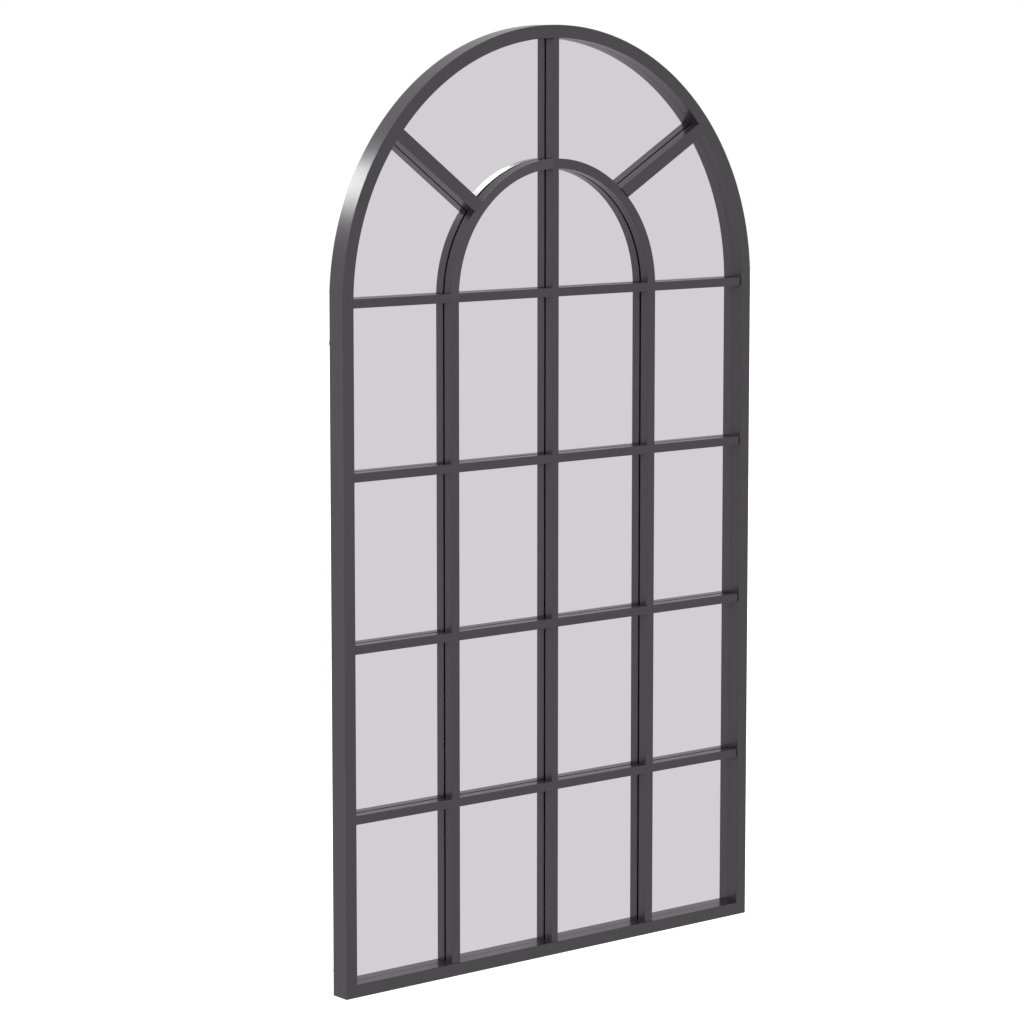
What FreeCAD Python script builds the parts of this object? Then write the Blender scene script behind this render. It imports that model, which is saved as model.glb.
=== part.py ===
"""Arched window mirror: a welded tube frame with glazing bars in front of one mirror sheet.

Millimetres. X runs across the mirror, +Y points to the wall behind it and +Z is up.
The origin lies on the wall plane, in the middle of the width, level with the bottom edge.
"""
import FreeCAD, Part
import math
import os

os.makedirs("parts", exist_ok=True)
Vector = FreeCAD.Vector

# ---- overall size -------------------------------------------------------------------
overall_width = 900.0
overall_height = 1600.0

# ---- outer frame: rectangular tube --------------------------------------------------
frame_face = 22.0              # width of the tube seen from the front
frame_depth = 38.0
frame_wall = 1.5
frame_corner = 1.2             # radius of the tube's long edges

# ---- glazing bars: smaller tubes, a little behind the frame's front -----------------
side_bar_face = 17.0           # the two side bars and the inner arch that joins them
centre_bar_face = 14.0
cross_bar_face = 15.0
spoke_face = 22.0
bar_wall = 1.2
bar_corner = 0.8
bar_setback = 2.5              # from the frame's front to the front of the bars
spoke_setback = 0.0            # the two spokes are flush with the frame
pane_rows = 4
spoke_foot_angle = {"left": 41.7, "right": 47.7}   # on the inner arch, up from the springline
spoke_slope = {"left": 36.8, "right": 30.9}        # how steeply each rises outwards from there

# ---- mirror sheet and what packs it -------------------------------------------------
mirror_setback = 23.0          # from the frame's front to the face of the mirror
glass_thickness = 4.0
glass_clearance = 0.5
tape_thickness = 2.0           # black foam tape between the bars and the mirror
tape_inset = 3.0               # how far the tape stays inside the edges of its bar
board_thickness = 3.0
board_clearance = 1.5

# ---- clips that hold the board ------------------------------------------------------
clip_sheet = 1.2
clip_width = 16.0
clip_tab = 17.0                # length that lies on the frame
clip_foot = 13.0               # length that reaches in over the board
clip_gap = 0.5                 # between the clip's step and the frame's inner face
clip_bend = 0.8                # inside radius of the bends
clips_per_stile = 4
clips_on_rail = 2
clips_on_arch = 5

# ---- pan head screws ----------------------------------------------------------------
screw_radius = 1.6
screw_length = 9.0             # under the head, with the point
screw_point = 2.5
screw_head_radius = 3.2
screw_head_height = 1.9
screw_head_rim = 0.7           # height of the head's straight rim
recess_width = 0.9
recess_span = 3.6
recess_depth = 1.1
pilot_clearance = 0.05         # round the shank in the frame's back wall
hole_clearance = 0.3           # round the shank in a clip or strap

# ---- strap hangers with a swinging ring ---------------------------------------------
strap_sheet = 1.0
strap_width = 13.0
strap_length = 38.0            # from the ring's pivot to the strap's lower end
strap_end_radius = 5.0
strap_seam = 0.5               # slit where the rolled eye comes back to the strap
hanger_drop = 60.0             # from the springline down to the ring's pivot
ring_wire_radius = 1.2
ring_clearance = 0.1           # round the wire inside the rolled eye
ring_side_play = 0.8           # beside the strap, each side
ring_bend = 2.5                # corner radius on the wire's centre line
ring_straight = 2.5            # straight length of the ring's sides
hanger_screw_first = 19.0      # below the pivot, clear of the ring as it hangs
hanger_screw_pitch = 12.0

# ---- bumpers that keep the frame off the wall ---------------------------------------
bumper_radius = 7.0
bumper_height = 6.0
bumper_edge = 1.0
bumper_from_bottom = 40.0
bumper_arch_angle = 60.0       # up from the springline

# ---- planes from the wall forwards --------------------------------------------------
frame_back = -bumper_height
frame_front = frame_back - frame_depth
bar_front = frame_front + bar_setback
spoke_front = frame_front + spoke_setback
mirror_front = frame_front + mirror_setback
bar_back = mirror_front - tape_thickness
glass_back = mirror_front + glass_thickness
board_back = glass_back + board_thickness

# ---- lines of the window ------------------------------------------------------------
outer_radius = overall_width / 2
inner_radius = outer_radius - frame_face
frame_radius = outer_radius - frame_face / 2
springline = overall_height - outer_radius
arch_centre = Vector(0, 0, springline)
pane_width = (overall_width - 2 * frame_face - 2 * side_bar_face - centre_bar_face) / 4
side_bar_x = centre_bar_face / 2 + pane_width + side_bar_face / 2
pane_height = (springline - frame_face - (pane_rows - 0.5) * cross_bar_face) / pane_rows
row_pitch = pane_height + cross_bar_face

# ---- fittings on the back -----------------------------------------------------------
eye_radius = ring_wire_radius + ring_clearance
eye_outer = eye_radius + strap_sheet
pivot_y = frame_back + eye_outer
pivot_z = springline - hanger_drop
ring_half_width = strap_width / 2 + ring_side_play + ring_wire_radius
sides = {"left": -1, "right": 1}

# ---- for the modelling itself -------------------------------------------------------
overcut = 1.0                  # how far a cutting solid runs past what it cuts
same_place = 1e-6              # two points nearer than this are one


# ---- sections in the XY plane -------------------------------------------------------
def rounded_rectangle(x_low, x_high, y_low, y_high, radius):
    corners = [
        (x_high - radius, y_high - radius, 0),
        (x_low + radius, y_high - radius, 90),
        (x_low + radius, y_low + radius, 180),
        (x_high - radius, y_low + radius, 270),
    ]
    arcs = []
    for x, y, start in corners:
        circle = Part.Circle(Vector(x, y, 0), Vector(0, 0, 1), radius)
        arcs.append(Part.Arc(circle, math.radians(start), math.radians(start + 90)).toShape())
    edges = []
    for arc, following in zip(arcs, arcs[1:] + arcs[:1]):
        edges += [arc, Part.makeLine(arc.lastVertex().Point, following.firstVertex().Point)]
    return Part.Wire(edges)


def tube_section(centre_x, face, y_front, y_back, corner, wall):
    x_low, x_high = centre_x - face / 2, centre_x + face / 2
    outline = rounded_rectangle(x_low, x_high, y_front, y_back, corner)
    bore_corner = max(corner - wall, wall / 4)
    bore = rounded_rectangle(x_low + wall, x_high - wall, y_front + wall, y_back - wall, bore_corner)
    return Part.Face(outline).cut(Part.Face(bore)).Faces[0]


def plain_section(centre_x, face, y_front, y_back):
    half = face / 2
    corners = [(-half, y_front), (half, y_front), (half, y_back), (-half, y_back)]
    points = [Vector(centre_x + x, y, 0) for x, y in corners]
    return Part.Face(Part.makePolygon(points + points[:1]))


def frame_section(centre_x):
    return tube_section(centre_x, frame_face, frame_front, frame_back, frame_corner, frame_wall)


def bar_section(centre_x, face):
    return tube_section(centre_x, face, bar_front, bar_back, bar_corner, bar_wall)


def spoke_section(centre_x, face):
    return tube_section(centre_x, face, spoke_front, bar_back, bar_corner, bar_wall)


def frame_envelope_section(centre_x):
    return plain_section(centre_x, frame_face, frame_front, frame_back)


def bar_envelope_section(centre_x, face):
    """Filled section as deep as the deepest bar, against which the others end."""
    return plain_section(centre_x, face, min(bar_front, spoke_front), bar_back)


def tape_section(centre_x, face):
    """Flat strip between a bar and the mirror, narrower than the bar."""
    return plain_section(centre_x, face - 2 * tape_inset, bar_back, mirror_front)


# ---- ways to carry a section along --------------------------------------------------
def upright(section, z_low, z_high):
    section.translate(Vector(0, 0, z_low))
    return section.extrude(Vector(0, 0, z_high - z_low))


def along(section, x, z, angle, length):
    """Runs a section from x, z in the direction at an angle above +X."""
    run = section.extrude(Vector(0, 0, length))
    return turned(run, 90 - angle, x, z)


def arched(section, start_angle, end_angle):
    """Sweeps a section round the arch's centre, with angles up from the springline at +X."""
    section.translate(arch_centre)
    section.rotate(arch_centre, Vector(0, -1, 0), start_angle)
    return section.revolve(arch_centre, Vector(0, -1, 0), end_angle - start_angle)


def turned(shape, angle, x, z):
    """Turns a shape from +Z towards +X about the Y axis, then moves it to x, z."""
    shape.rotate(Vector(0, 0, 0), Vector(0, 1, 0), angle)
    shape.translate(Vector(x, 0, z))
    return shape


def on_side(shape, side):
    """The shape itself on the right, its mirror image on the left."""
    return shape if side > 0 else shape.mirror(Vector(0, 0, 0), Vector(1, 0, 0))


def trimmed(shape, neighbours, x, z):
    """Cuts the neighbours away and keeps the piece nearest to x, z."""
    remains = shape.cut(neighbours)
    middle = Part.Vertex(x, (bar_front + bar_back) / 2, z)
    return min(remains.Solids, key=lambda piece: piece.distToShape(middle)[0])


def plate(wire, y_front, y_back):
    """Extrudes an outline in the XZ plane, drawn at y = 0, between two Y planes."""
    face = Part.Face(wire)
    face.translate(Vector(0, y_front, 0))
    return face.extrude(Vector(0, y_back - y_front, 0))


def polygon(points):
    return Part.makePolygon([Vector(x, 0, z) for x, z in points + points[:1]])


def arch_point(radius, angle):
    """X and Z of a point on a circle about the arch's centre."""
    turn = math.radians(angle)
    return radius * math.cos(turn), springline + radius * math.sin(turn)


# ---- screw places on the frame's back -----------------------------------------------
def clip_places():
    """Each clip's turn, and its x and z on the frame's inner edge."""
    places = []
    lowest, highest = frame_face, pivot_z - strap_length
    for index in range(clips_per_stile):
        height = lowest + (highest - lowest) * (index + 0.5) / clips_per_stile
        places += [(-90 * side, side * inner_radius, height) for side in sides.values()]
    for index in range(clips_on_rail):
        places.append((0, inner_radius * (2 * (index + 0.5) / clips_on_rail - 1), frame_face))
    for index in range(clips_on_arch):
        angle = 180 * (index + 0.5) / clips_on_arch
        places.append((-90 - angle, *arch_point(inner_radius, angle)))
    return places


def clip_screw_places():
    places = []
    for turn, x, z in clip_places():
        inward_x, inward_z = math.sin(math.radians(turn)), math.cos(math.radians(turn))
        places.append((x - inward_x * frame_face / 2, z - inward_z * frame_face / 2))
    return places


def hanger_screw_places(side):
    first = pivot_z - hanger_screw_first
    return [(side * frame_radius, z) for z in (first, first - hanger_screw_pitch)]


def drilled(tube, places):
    """Pilot holes through the tube's back wall only."""
    for x, z in places:
        start = Vector(x, frame_back - 2 * frame_wall, z)
        drill = Part.makeCylinder(screw_radius + pilot_clearance, 4 * frame_wall, start, Vector(0, 1, 0))
        tube = tube.cut(drill)
    return tube


# ---- the outer frame ----------------------------------------------------------------
def mitre_offcut(side, above):
    """What lies above or below the mitre line through a bottom corner."""
    reach = 2 * frame_face
    corner = side * outer_radius
    third = (corner + side * reach, reach) if above else (corner - side * reach, -reach)
    outline = polygon([(corner + side * reach, -reach), (corner - side * reach, reach), third])
    return plate(outline, frame_front - overcut, frame_back + overcut)


def make_stile(side):
    stile = upright(frame_section(side * frame_radius), 0, springline)
    stile = stile.cut(mitre_offcut(side, above=False))
    own = [(x, z) for x, z in clip_screw_places() if x * side > inner_radius and z < springline]
    return drilled(stile, own + hanger_screw_places(side))


def make_bottom_rail():
    rail = along(frame_section(0), -outer_radius, frame_face / 2, 0, overall_width)
    for side in sides.values():
        rail = rail.cut(mitre_offcut(side, above=True))
    return drilled(rail, [(x, z) for x, z in clip_screw_places() if z < frame_face])


def make_arch():
    arch = arched(frame_section(frame_radius), 0, 180)
    return drilled(arch, [(x, z) for x, z in clip_screw_places() if z > springline])


def frame_envelope():
    """The filled outer frame, to which bars and tapes are fitted."""
    section = frame_envelope_section
    solids = [upright(section(side * frame_radius), 0, springline) for side in sides.values()]
    solids.append(along(section(0), -outer_radius, frame_face / 2, 0, overall_width))
    solids.append(arched(section(frame_radius), 0, 180))
    return solids


# ---- everything that follows the lines of the window --------------------------------
def window_lines(section, section_of_spokes, envelope):
    """Makes the bars, or the tapes under them, from the sections drawn for them.

    The envelope is the filled section, so that hollow bars end on each other's outside.
    """
    frame = frame_envelope()
    centre = make_centre_bar(envelope)
    uprights = [centre] + [make_side_bar(envelope, side) for side in sides.values()]
    arcs = [make_inner_arch(envelope, side) for side in sides.values()]
    members = {"centre_bar": trimmed(make_centre_bar(section), frame, 0, springline / 2)}
    for name, side in sides.items():
        side_bar = make_side_bar(section, side)
        members["side_bar_" + name] = trimmed(side_bar, frame, side * side_bar_x, springline / 2)
        crown_x, crown_z = arch_point(side_bar_x, 45)
        inner_arch = make_inner_arch(section, side)
        members["inner_arch_" + name] = trimmed(inner_arch, [centre], side * crown_x, crown_z)
        members["spoke_" + name] = make_spoke(section_of_spokes, name, frame + arcs)
    members.update(make_cross_bars(section, frame + uprights + arcs))
    return members


def make_centre_bar(section):
    return upright(section(0, centre_bar_face), 0, overall_height)


def make_side_bar(section, side):
    return upright(section(side * side_bar_x, side_bar_face), 0, springline)


def make_inner_arch(section, side):
    return on_side(arched(section(side_bar_x, side_bar_face), 0, 90), side)


def make_spoke(section, name, neighbours):
    """Drawn on the right, from the inner arch out to the frame, then put on its own side."""
    foot_x, foot_z = arch_point(side_bar_x, spoke_foot_angle[name])
    length = outer_radius - side_bar_x
    spoke = along(section(0, spoke_face), foot_x, foot_z, spoke_slope[name], length)
    slope = math.radians(spoke_slope[name])
    middle_x = foot_x + length / 2 * math.cos(slope)
    middle_z = foot_z + length / 2 * math.sin(slope)
    return on_side(trimmed(spoke, neighbours, middle_x, middle_z), sides[name])


def make_cross_bars(section, neighbours):
    """One bar in each bay of each row, between the centre lines of what it meets."""
    limits = [-frame_radius, -side_bar_x, 0, side_bar_x, frame_radius]
    bays = ["outer_left", "inner_left", "inner_right", "outer_right"]
    cross_bars = {}
    for row in range(1, pane_rows + 1):
        height = frame_face + row * row_pitch - cross_bar_face / 2
        for bay, start, end in zip(bays, limits, limits[1:]):
            bar = along(section(0, cross_bar_face), start, height, 0, end - start)
            fitted = trimmed(bar, neighbours, (start + end) / 2, height)
            cross_bars[f"cross_bar_row{row}_{bay}"] = fitted
    return cross_bars


# ---- the mirror and its backing board -----------------------------------------------
def make_sheet(clearance, y_front, y_back):
    """Flat sheet that fills the frame, less a clearance all round."""
    half = inner_radius - clearance
    bottom = frame_face + clearance
    right, left = Vector(half, 0, springline), Vector(-half, 0, springline)
    arc = Part.Arc(right, Vector(0, 0, springline + half), left).toShape()
    straight = Part.makePolygon([left, Vector(-half, 0, bottom), Vector(half, 0, bottom), right])
    return plate(Part.Wire([arc] + straight.Edges), y_front, y_back)


# ---- clips, screws, hangers, bumpers ------------------------------------------------
def edges_at(shape, **place):
    """Edges whose ends all lie at the given x, y or z."""
    def lies_there(vertex):
        gaps = [abs(getattr(vertex.Point, axis) - value) for axis, value in place.items()]
        return max(gaps) < same_place

    return [edge for edge in shape.Edges if all(lies_there(v) for v in edge.Vertexes)]


def screw_hole(x, z):
    """Drill for the clearance hole of a clip or strap that lies on the frame's back."""
    start = Vector(x, frame_back - overcut, z)
    length = max(clip_sheet, strap_sheet) + 2 * overcut
    return Part.makeCylinder(screw_radius + hole_clearance, length, start, Vector(0, 1, 0))


def make_clip():
    """Stepped clip on the bottom rail at x = 0: a tab on the frame and a foot on the board."""
    inner, outer = clip_gap, clip_gap + clip_sheet
    foot_end = clip_gap + clip_foot
    outline = [
        (frame_back, -clip_tab), (frame_back, inner), (board_back, inner), (board_back, foot_end),
        (board_back + clip_sheet, foot_end), (board_back + clip_sheet, outer),
        (frame_back + clip_sheet, outer), (frame_back + clip_sheet, -clip_tab),
    ]
    points = [Vector(-clip_width / 2, y, z) for y, z in outline]
    clip = Part.Face(Part.makePolygon(points + points[:1])).extrude(Vector(clip_width, 0, 0))
    for y, z in ((frame_back, inner), (board_back + clip_sheet, outer)):
        clip = clip.makeFillet(clip_bend, edges_at(clip, y=y, z=z))
    for y, z in ((frame_back + clip_sheet, outer), (board_back, inner)):
        clip = clip.makeFillet(clip_bend + clip_sheet, edges_at(clip, y=y, z=z))
    return clip.cut(screw_hole(0, -frame_face / 2))


def make_screw(seat):
    """Pan head screw along -Y whose head sits on the plane y = seat, at x = z = 0."""
    dome_rise = screw_head_height - screw_head_rim
    dome_radius = (screw_head_radius**2 + dome_rise**2) / (2 * dome_rise)
    half_turn = math.asin(screw_head_radius / dome_radius) / 2
    rim = Vector(screw_head_radius, seat + screw_head_rim, 0)
    crown = Vector(0, seat + screw_head_height, 0)
    halfway = crown + Vector(
        dome_radius * math.sin(half_turn), dome_radius * (math.cos(half_turn) - 1), 0
    )
    below = [
        crown, Vector(0, seat - screw_length, 0),
        Vector(screw_radius, seat - screw_length + screw_point, 0), Vector(screw_radius, seat, 0),
        Vector(screw_head_radius, seat, 0), rim,
    ]
    outline = Part.Wire([Part.Arc(rim, halfway, crown).toShape()] + Part.makePolygon(below).Edges)
    screw = Part.Face(outline).revolve(Vector(0, 0, 0), Vector(0, 1, 0), 360)
    floor = seat + screw_head_height - recess_depth
    for span_x, span_z in ((recess_span, recess_width), (recess_width, recess_span)):
        corner = Vector(-span_x / 2, floor, -span_z / 2)
        screw = screw.cut(Part.makeBox(span_x, 2 * recess_depth, span_z, corner))
    return screw


def screws_at(places, seat):
    screw = make_screw(seat)
    return Part.makeCompound([screw.translated(Vector(x, 0, z)) for x, z in places])


def make_strap(side):
    """Strap screwed to the stile, its upper end rolled into an eye round the ring."""
    half = strap_width / 2
    end = pivot_z - strap_length
    strap = Part.makeBox(strap_width, strap_sheet, strap_length, Vector(-half, frame_back, end))
    corners = edges_at(strap, x=-half, z=end) + edges_at(strap, x=half, z=end)
    strap = strap.makeFillet(strap_end_radius, corners)
    pivot, across = Vector(-half, pivot_y, pivot_z), Vector(1, 0, 0)
    strap = strap.fuse(Part.makeCylinder(eye_outer, strap_width, pivot, across))
    strap = strap.cut(Part.makeCylinder(eye_radius, strap_width, pivot, across))
    seam_corner = Vector(-half, frame_back + strap_sheet, pivot_z - eye_outer)
    strap = strap.cut(Part.makeBox(strap_width, strap_seam, eye_outer, seam_corner))
    for x, z in hanger_screw_places(0):
        strap = strap.cut(screw_hole(x, z))
    strap.translate(Vector(side * frame_radius, 0, 0))
    return strap


def make_ring(side):
    """D-shaped wire ring that hangs down from the strap's eye."""
    half, bend = ring_half_width, ring_bend
    knee = bend + ring_straight
    bend_middle = bend * (1 - math.sqrt(0.5))

    def at(x, drop):
        return Vector(side * frame_radius + x, pivot_y, pivot_z - drop)

    path = Part.Wire([
        Part.makeLine(at(bend - half, 0), at(half - bend, 0)),
        Part.Arc(at(half - bend, 0), at(half - bend_middle, bend_middle), at(half, bend)).toShape(),
        Part.makeLine(at(half, bend), at(half, knee)),
        Part.Arc(at(half, knee), at(0, knee + half), at(-half, knee)).toShape(),
        Part.makeLine(at(-half, knee), at(-half, bend)),
        Part.Arc(at(-half, bend), at(bend_middle - half, bend_middle), at(bend - half, 0)).toShape(),
    ])
    wire = Part.Wire(Part.makeCircle(ring_wire_radius, at(bend - half, 0), Vector(1, 0, 0)))
    return Part.Solid(path.makePipeShell([wire], True, False))


def make_bumpers():
    """One bumper low on each stile and one on each side of the arch."""
    places = [(frame_radius, bumper_from_bottom), arch_point(frame_radius, bumper_arch_angle)]
    bumpers = []
    for x, z in places:
        for side in sides.values():
            start = Vector(side * x, frame_back, z)
            bumper = Part.makeCylinder(bumper_radius, bumper_height, start, Vector(0, 1, 0))
            rim = [edge for edge in edges_at(bumper, y=0) if edge.isClosed()]
            bumpers.append(bumper.makeFillet(bumper_edge, rim))
    return Part.makeCompound(bumpers)


# ---- all the pieces by name ---------------------------------------------------------
nodes = {
    "frame_arch": make_arch(),
    "frame_bottom_rail": make_bottom_rail(),
    "mirror_glass": make_sheet(glass_clearance, mirror_front, glass_back),
    "backing_board": make_sheet(board_clearance, glass_back, board_back),
    "back_clips": Part.makeCompound([turned(make_clip(), *place) for place in clip_places()]),
    "back_clip_screws": screws_at(clip_screw_places(), frame_back + clip_sheet),
    "wall_bumpers": make_bumpers(),
}
for name, side in sides.items():
    nodes["frame_stile_" + name] = make_stile(side)
    nodes["hanger_strap_" + name] = make_strap(side)
    nodes["hanger_ring_" + name] = make_ring(side)
    nodes["hanger_screws_" + name] = screws_at(hanger_screw_places(side), frame_back + strap_sheet)

nodes.update(window_lines(bar_section, spoke_section, bar_envelope_section))

row_tapes = {}
for name, tape in window_lines(tape_section, tape_section, tape_section).items():
    if name.startswith("cross_bar"):
        row = "glazing_tape_cross_bars_" + name.split("_")[2]
        row_tapes.setdefault(row, []).append(tape)
    else:
        nodes["glazing_tape_" + name] = tape
for row, tapes in row_tapes.items():
    nodes[row] = Part.makeCompound(tapes)

for name, shape in nodes.items():
    shape.exportStep(f"parts/{name}.step")
    print(f"{name}: {len(shape.Solids)} solid(s), {shape.Volume:.1f} mm3, valid {shape.isValid()}")
print(f"{len(nodes)} nodes")
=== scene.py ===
"""Looks of the arched window mirror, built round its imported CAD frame.

Metres, in the frame that the CAD has: X runs across the mirror, +Y points to the wall behind
it and +Z is up. The origin lies on the wall plane, halfway across, level with the bottom edge.
"""
import logging
import math
from collections.abc import Callable, Sequence
from dataclasses import dataclass
from enum import Enum

import bmesh
import bpy
from mathutils import Matrix, Vector


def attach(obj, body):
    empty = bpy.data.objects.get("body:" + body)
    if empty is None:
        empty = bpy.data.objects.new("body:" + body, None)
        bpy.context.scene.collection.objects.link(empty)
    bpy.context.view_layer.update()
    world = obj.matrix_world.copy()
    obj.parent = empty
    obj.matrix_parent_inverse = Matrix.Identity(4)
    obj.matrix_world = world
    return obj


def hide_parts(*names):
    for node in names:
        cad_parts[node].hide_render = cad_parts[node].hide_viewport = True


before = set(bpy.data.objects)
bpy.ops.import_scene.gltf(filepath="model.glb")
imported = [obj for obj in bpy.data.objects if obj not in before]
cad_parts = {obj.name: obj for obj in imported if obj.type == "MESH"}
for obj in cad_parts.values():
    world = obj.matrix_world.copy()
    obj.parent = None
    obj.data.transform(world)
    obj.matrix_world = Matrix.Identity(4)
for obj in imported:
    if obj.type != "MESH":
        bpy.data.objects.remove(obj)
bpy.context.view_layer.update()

LOG = logging.getLogger("arched_window_mirror")

Colour = tuple[float, float, float]
Place = tuple[float, float]             # x and z, or along and across, in a plane
TurnedPlace = tuple[float, float, float]            # turn about Y, x and z
Rule = Callable[[float], float]         # where a member ends, for a place across it
Socket = bpy.types.NodeSocket
Look = tuple[Socket, Socket, Socket]    # of the colour, the roughness and the normal
AddNode = Callable[..., bpy.types.Node]

BLACK_TO_WHITE = (0.32, 0.68)           # part of a pattern that spans a finish's two colours
SMOOTH_TO_ROUGH = (0.3, 0.7)            # part of a pattern that spans its range of roughness
WAVE_OF_ONE_METRE = math.pi / 10        # scale at which a Wave Texture's bands are 1 m apart


# ---- sizes --------------------------------------------------------------------------
class Side(Enum):
    """The two halves of the window, with the sign of x on each."""

    LEFT = -1
    RIGHT = 1

    @property
    def word(self) -> str:
        """The side's name as it stands in the names of pieces."""
        return self.name.lower()


@dataclass(frozen=True)
class WindowPlan:
    """The window's own sizes, the same as the CAD's."""

    width: float = 0.900
    height: float = 1.600
    frame_face: float = 0.022
    frame_corner: float = 0.0012
    side_bar_face: float = 0.017
    centre_bar_face: float = 0.014
    cross_bar_face: float = 0.015
    spoke_face: float = 0.022
    bar_corner: float = 0.0008
    pane_rows: int = 4
    pane_columns: int = 4
    frame_front: float = -0.044
    frame_back: float = -0.006
    bar_front: float = -0.0415
    bar_back: float = -0.023
    mirror_front: float = -0.021
    glass_back: float = -0.017
    board_back: float = -0.014
    hanger_drop: float = 0.060

    @property
    def outer_radius(self) -> float:
        """Outside of the frame's arch."""
        return self.width / 2

    @property
    def inner_radius(self) -> float:
        """Inside of the frame's arch, and half the opening's width."""
        return self.outer_radius - self.frame_face

    @property
    def frame_radius(self) -> float:
        """Middle of the frame's tube."""
        return self.outer_radius - self.frame_face / 2

    @property
    def springline(self) -> float:
        """Height at which the arches begin."""
        return self.height - self.outer_radius

    @property
    def pane_width(self) -> float:
        """Clear width of each column of panes."""
        bars = 2 * self.side_bar_face + self.centre_bar_face
        return (self.width - 2 * self.frame_face - bars) / self.pane_columns

    @property
    def side_bar_x(self) -> float:
        """Middle of a side bar, and radius of the inner arch."""
        return self.centre_bar_face / 2 + self.pane_width + self.side_bar_face / 2

    @property
    def row_pitch(self) -> float:
        """Height of a pane and the cross bar above it.

        The top row's bar is centred on the springline, so only half of it counts.

        Returns:
            The distance from one row to the next.
        """
        bars = (self.pane_rows - 0.5) * self.cross_bar_face
        clear = (self.springline - self.frame_face - bars) / self.pane_rows
        return clear + self.cross_bar_face

    @property
    def pivot_height(self) -> float:
        """Height of the hanging rings' pivots."""
        return self.springline - self.hanger_drop

    def cross_bar_height(self, row: int) -> float:
        """Middle of the cross bar above a row of panes, the lowest being row 1."""
        return self.frame_face + row * self.row_pitch - self.cross_bar_face / 2

    def on_arch(self, radius: float, angle: float) -> Place:
        """X and Z of a point on a circle about the arch's centre.

        Args:
            radius: of the circle.
            angle: up from the springline at +X, in radians.

        Returns:
            The point in the plane of the window.
        """
        return radius * math.cos(angle), self.springline + radius * math.sin(angle)


# ---- trees of nodes -----------------------------------------------------------------
class Wiring:
    """Adds nodes to a tree, with each input given by its name as a value or a socket."""

    COLUMN = 190.0                      # spacing of the nodes in the editor
    ROW = 260.0
    PER_ROW = 7

    def __init__(self, tree: bpy.types.NodeTree) -> None:
        """Takes the tree to add to."""
        self.tree = tree

    def add(self, kind: str, inputs: dict | None = None, **settings: object) -> bpy.types.Node:
        """Makes one node and wires it.

        Args:
            kind: Blender's name for the node.
            inputs: for each input, by name or number, its value or the socket that feeds it.
            settings: the node's other properties.

        Returns:
            The new node.
        """
        node = self.tree.nodes.new(kind)
        row, column = divmod(len(self.tree.nodes), self.PER_ROW)
        node.location = (column * self.COLUMN, -row * self.ROW)
        for name, value in settings.items():
            setattr(node, name, value)
        for name, value in (inputs or {}).items():
            if isinstance(value, Socket):
                self.tree.links.new(value, node.inputs[name])
            else:
                node.inputs[name].default_value = value
        return node

    def group_inputs(self, kinds: dict[str, str]) -> bpy.types.Node:
        """Gives the tree its named inputs.

        Args:
            kinds: the type of socket of each name.

        Returns:
            The node that they come out of.
        """
        for name, kind in kinds.items():
            self.tree.interface.new_socket(name, in_out="INPUT", socket_type=kind)
        return self.add("NodeGroupInput")

    def group_outputs(self, kinds: dict[str, str], sockets: Sequence[Socket]) -> None:
        """Gives the tree its named outputs.

        Args:
            kinds: the type of socket of each name.
            sockets: what feeds them, in the same order.
        """
        for name, kind in kinds.items():
            self.tree.interface.new_socket(name, in_out="OUTPUT", socket_type=kind)
        self.add("NodeGroupOutput", dict(zip(kinds, sockets)))


# ---- shared patterns ----------------------------------------------------------------
def unevenness_group() -> bpy.types.NodeTree:
    """Node group for the fine grain and slow drift that every dull finish has.

    Returns:
        A group with the inputs Grain size, Drift size and Depth, in metres, and the outputs
        Grain and Drift, from 0 to 1, and Normal.
    """
    group = bpy.data.node_groups.new("unevenness", "ShaderNodeTree")
    wiring = Wiring(group)
    sizes = ("Grain size", "Drift size", "Depth")
    given = wiring.group_inputs(dict.fromkeys(sizes, "NodeSocketFloat"))
    place = wiring.add("ShaderNodeTexCoord").outputs["Object"]
    noises = []
    for size, detail in (("Grain size", 2.0), ("Drift size", 4.0)):
        scale = wiring.add("ShaderNodeMath", {0: 1.0, 1: given.outputs[size]}, operation="DIVIDE")
        settings = {"Vector": place, "Scale": scale.outputs[0], "Detail": detail}
        noises.append(wiring.add("ShaderNodeTexNoise", settings).outputs["Fac"])
    bump = wiring.add("ShaderNodeBump", {"Height": noises[0], "Distance": given.outputs["Depth"]})
    kinds = {"Grain": "NodeSocketFloat", "Drift": "NodeSocketFloat", "Normal": "NodeSocketVector"}
    wiring.group_outputs(kinds, [*noises, bump.outputs["Normal"]])
    return group


def cells_group() -> bpy.types.NodeTree:
    """Node group for a surface of small cells, such as foam's pores or zinc's crystals.

    Returns:
        A group with the input Cell size, in metres, and the outputs Shade, a random value
        from 0 to 1 for each cell, and Rim, which is 0 on the cells' edges.
    """
    group = bpy.data.node_groups.new("cells", "ShaderNodeTree")
    wiring = Wiring(group)
    given = wiring.group_inputs({"Cell size": "NodeSocketFloat"})
    place = wiring.add("ShaderNodeTexCoord").outputs["Object"]
    scale = wiring.add(
        "ShaderNodeMath", {0: 1.0, 1: given.outputs["Cell size"]}, operation="DIVIDE"
    )
    where = {"Vector": place, "Scale": scale.outputs[0]}
    cells = wiring.add("ShaderNodeTexVoronoi", where)
    edges = wiring.add("ShaderNodeTexVoronoi", where, feature="DISTANCE_TO_EDGE")
    shade = wiring.add("ShaderNodeSeparateColor", {"Color": cells.outputs["Color"]})
    kinds = {"Shade": "NodeSocketFloat", "Rim": "NodeSocketFloat"}
    wiring.group_outputs(kinds, [shade.outputs["Red"], edges.outputs["Distance"]])
    return group


@dataclass(frozen=True)
class Patterns:
    """The node groups that more than one finish uses."""

    unevenness: bpy.types.NodeTree
    cells: bpy.types.NodeTree


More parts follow.
